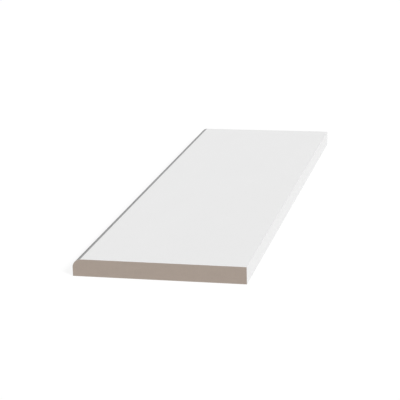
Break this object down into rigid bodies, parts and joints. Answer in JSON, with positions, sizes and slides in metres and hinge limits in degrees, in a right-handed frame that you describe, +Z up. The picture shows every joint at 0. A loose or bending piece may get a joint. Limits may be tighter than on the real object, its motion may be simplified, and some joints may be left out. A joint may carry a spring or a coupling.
{
  "type": "skirting board",
  "caption": "Flat skirting board of MDF with one rounded long edge, a white coat on its face and long edges and bare sawn ends, for trimming the foot of a wall.",
  "frame": {"origin": "the middle of the back face, which is the face that the board lies on", "axes": "+X across the width, towards the square floor edge; +Y along the length; +Z up through the thickness, out of the face"},
  "size_m": [0.12, 0.4, 0.012],
  "materials": {
    "white_coated_mdf": "matte"
  },
  "bodies": {
    "root": {"skirting_board": "white_coated_mdf"}
  },
  "joints": []
}
